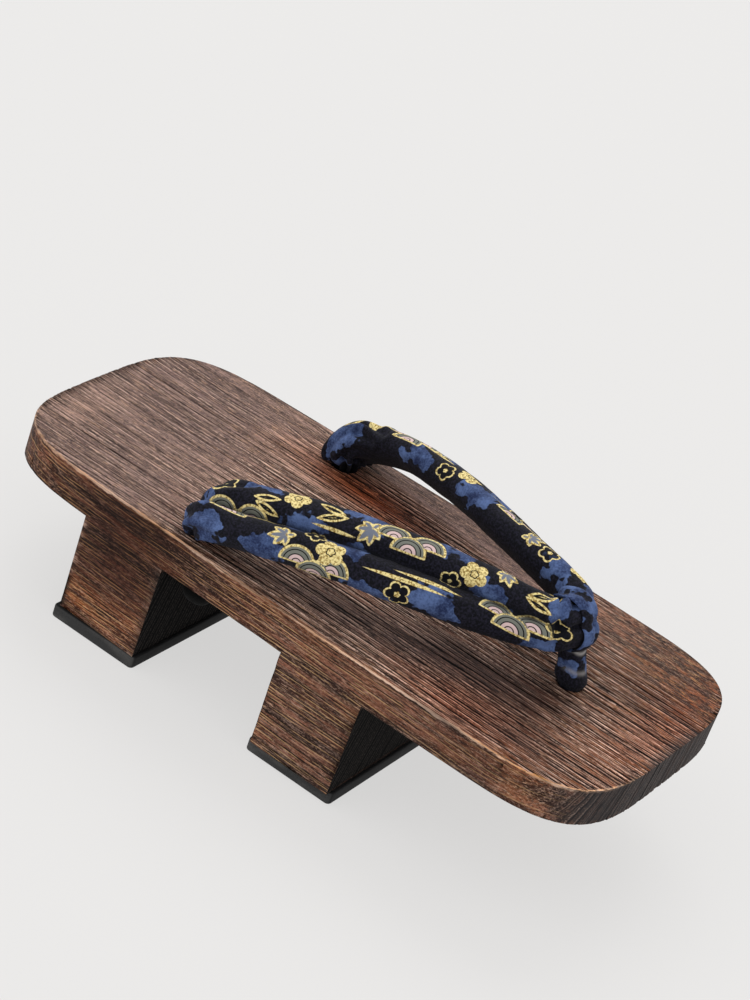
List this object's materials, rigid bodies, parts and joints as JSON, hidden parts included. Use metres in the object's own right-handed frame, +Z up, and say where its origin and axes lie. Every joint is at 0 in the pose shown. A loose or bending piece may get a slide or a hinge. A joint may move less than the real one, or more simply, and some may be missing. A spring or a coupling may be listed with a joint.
{
  "type": "geta sandal",
  "caption": "Wooden geta sandal: a flat rounded board carved on two full-width teeth with rubber tread pads, and a padded cloth thong strap held at the toe by a cloth loop and post.",
  "frame": {"origin": "on the floor, under the middle of the board", "axes": "+X to the toe, +Y to the wearer's left, +Z up"},
  "size_m": [0.265, 0.1226, 0.0921],
  "materials": {
    "wood": "charred and brushed, matt with a slight sheen",
    "rubber": "matt",
    "strap_cloth": "woven cotton with a printed pattern",
    "loop_cloth": "woven cotton with a printed pattern"
  },
  "bodies": {
    "root": {"wood_block": "wood", "front_pad": "rubber", "rear_pad": "rubber", "strap": "strap_cloth", "toe_loop": "loop_cloth"}
  },
  "joints": []
}
